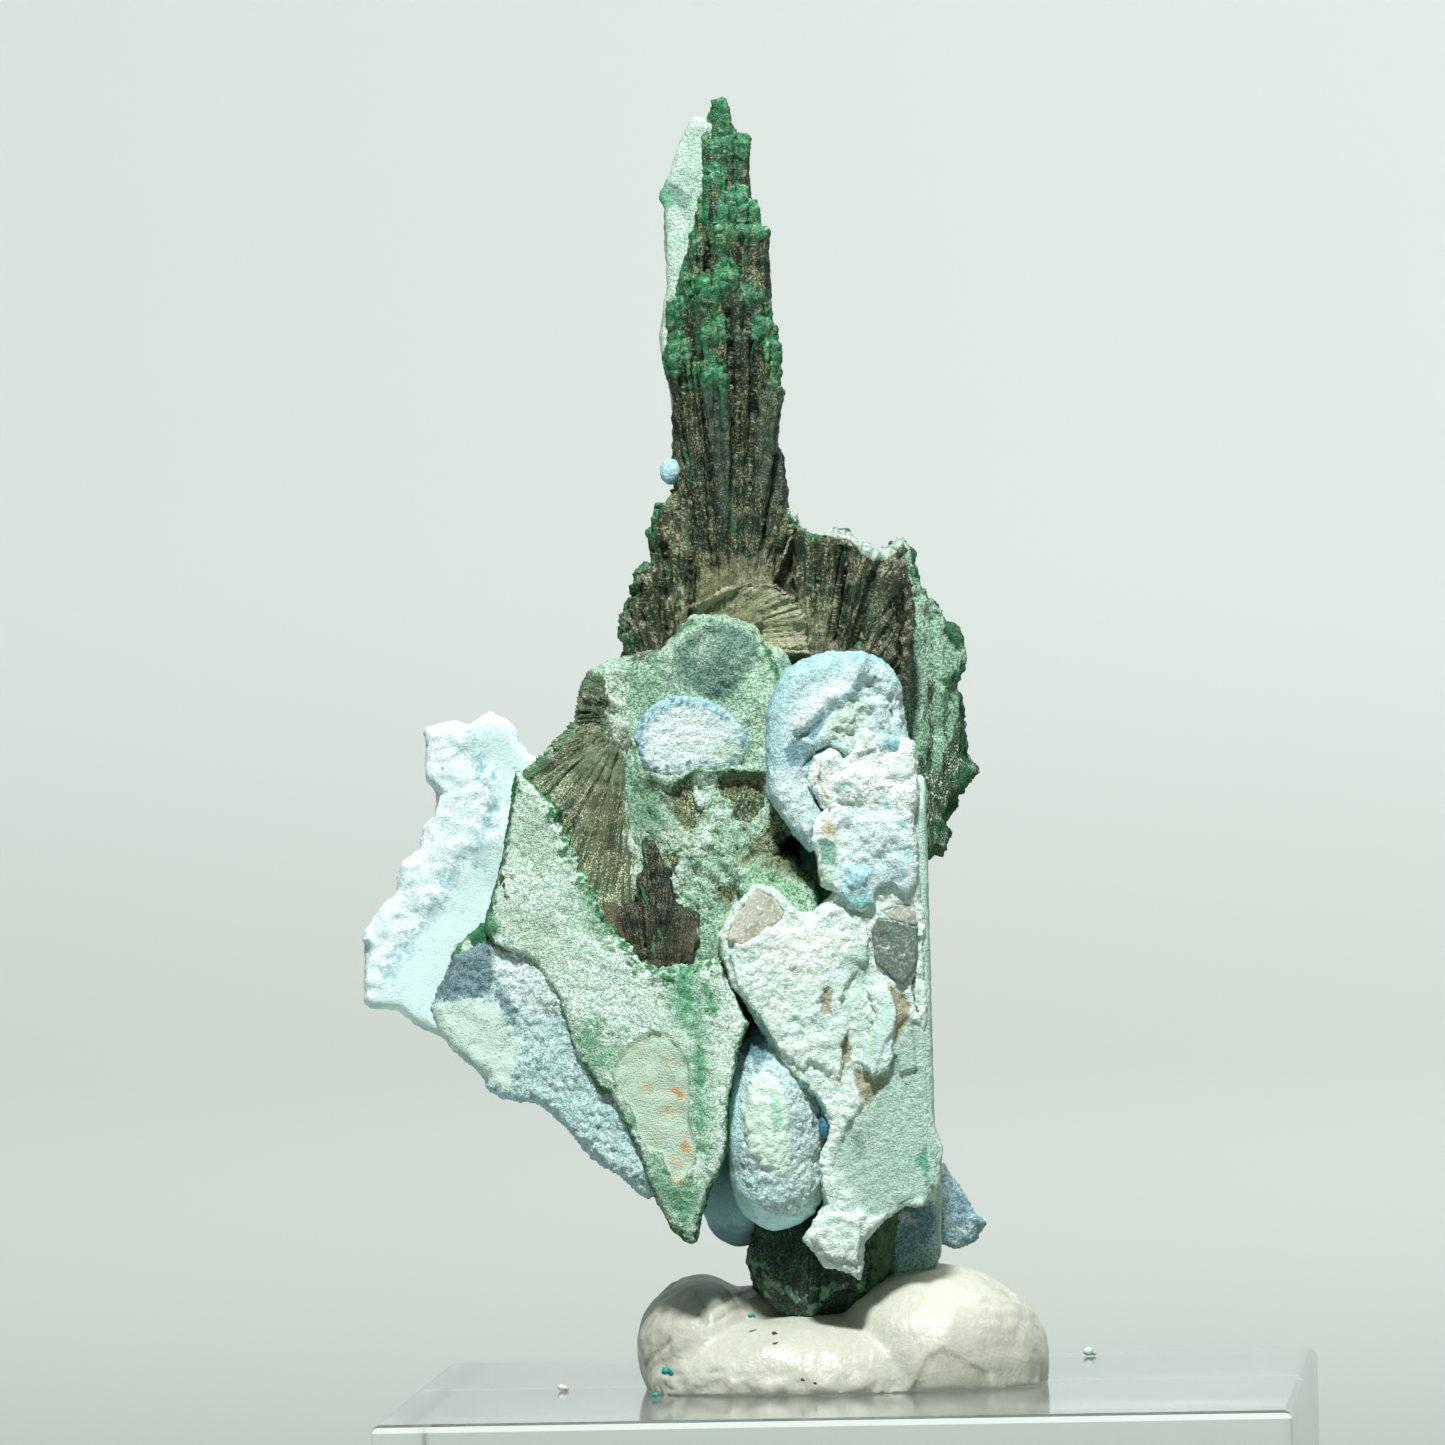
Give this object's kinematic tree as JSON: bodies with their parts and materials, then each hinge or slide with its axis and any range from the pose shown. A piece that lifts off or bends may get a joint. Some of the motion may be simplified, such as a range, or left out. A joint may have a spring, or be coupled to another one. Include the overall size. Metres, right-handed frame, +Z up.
{
  "type": "malachite with chrysocolla specimen on an acrylic block",
  "caption": "Upright malachite spike and fan with drusy green plates, blue chrysocolla knobs and a mint crust, held by a pad of tack on a clear acrylic block.",
  "frame": {"origin": "centre of the block's underside", "axes": "+Z up along the specimen's spike; -Y towards the viewer of the specimen's front; +X to that viewer's right"},
  "size_m": [0.0537, 0.0508, 0.0984],
  "materials": {
    "mineral": "fibrous dark green malachite with glinting strands, powdery green druse, and dull blue and mint chrysocolla",
    "tack": "off-white kneaded tack, satin, with fine ridges",
    "acrylic": "clear polished acrylic"
  },
  "bodies": {
    "root": {"malachite_specimen": "mineral", "mineral_tack": "tack", "acrylic_block": "acrylic"}
  },
  "joints": []
}
